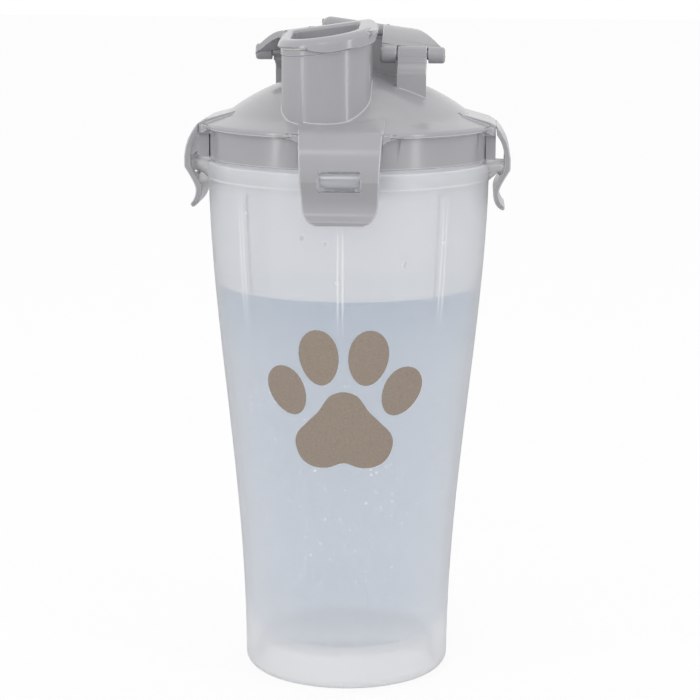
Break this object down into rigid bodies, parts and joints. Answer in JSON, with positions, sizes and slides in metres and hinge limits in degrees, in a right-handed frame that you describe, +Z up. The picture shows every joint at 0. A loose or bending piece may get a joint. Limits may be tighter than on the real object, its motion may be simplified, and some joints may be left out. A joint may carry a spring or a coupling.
{
  "type": "dog travel water bottle",
  "caption": "Tall frosted travel cup with two chambers, a domed grey lid held by side clips, flip-cap spouts and a paw print on the front.",
  "frame": {"origin": "on the ground, centre of the base", "axes": "+Z up, -Y is the front with the paw print and a clip, the spouts repeat after half a turn about Z"},
  "size_m": [0.115, 0.115, 0.2367],
  "materials": {
    "frosted_cup": "frosted, see-through moulded plastic with a satin surface",
    "lid_plastic": "mid grey moulded plastic, semi-gloss",
    "silicone": "pale translucent silicone, matt",
    "print_ink": "taupe screen ink, matt and finely grained",
    "water": "clear water with fine bubbles"
  },
  "bodies": {
    "bottle": {"cup_body": "frosted_cup", "divider_panel": "frosted_cup", "paw_print": "print_ink", "lid_shell": "lid_plastic", "lid_gasket": "silicone"},
    "clip_front": {"clip_front": "lid_plastic"},
    "clip_right": {"clip_right": "lid_plastic"},
    "clip_back": {"clip_back": "lid_plastic"},
    "clip_left": {"clip_left": "lid_plastic"},
    "flap_front": {"flap_front": "lid_plastic", "flap_seal_front": "silicone"},
    "flap_back": {"flap_back": "lid_plastic", "flap_seal_back": "silicone"}
  },
  "joints": [
    {"name": "clip_front_hinge", "type": "hinge", "parent": "bottle", "child": "clip_front", "pos_m": [0, -0.05235, 0.2002], "axis": [-1, 0, 0], "range_deg": [0, 130]},
    {"name": "clip_right_hinge", "type": "hinge", "parent": "bottle", "child": "clip_right", "pos_m": [0.05235, 0, 0.2002], "axis": [0, -1, 0], "range_deg": [0, 130]},
    {"name": "clip_back_hinge", "type": "hinge", "parent": "bottle", "child": "clip_back", "pos_m": [0, 0.05235, 0.2002], "axis": [1, 0, 0], "range_deg": [0, 130]},
    {"name": "clip_left_hinge", "type": "hinge", "parent": "bottle", "child": "clip_left", "pos_m": [-0.05235, 0, 0.2002], "axis": [0, 1, 0], "range_deg": [0, 130]},
    {"name": "flap_front_hinge", "type": "hinge", "parent": "bottle", "child": "flap_front", "pos_m": [-0.0226, 0.008, 0.2243], "axis": [-1, 0, 0], "range_deg": [0, 100]},
    {"name": "flap_back_hinge", "type": "hinge", "parent": "bottle", "child": "flap_back", "pos_m": [0.0226, -0.008, 0.2243], "axis": [1, 0, 0], "range_deg": [0, 100]}
  ]
}
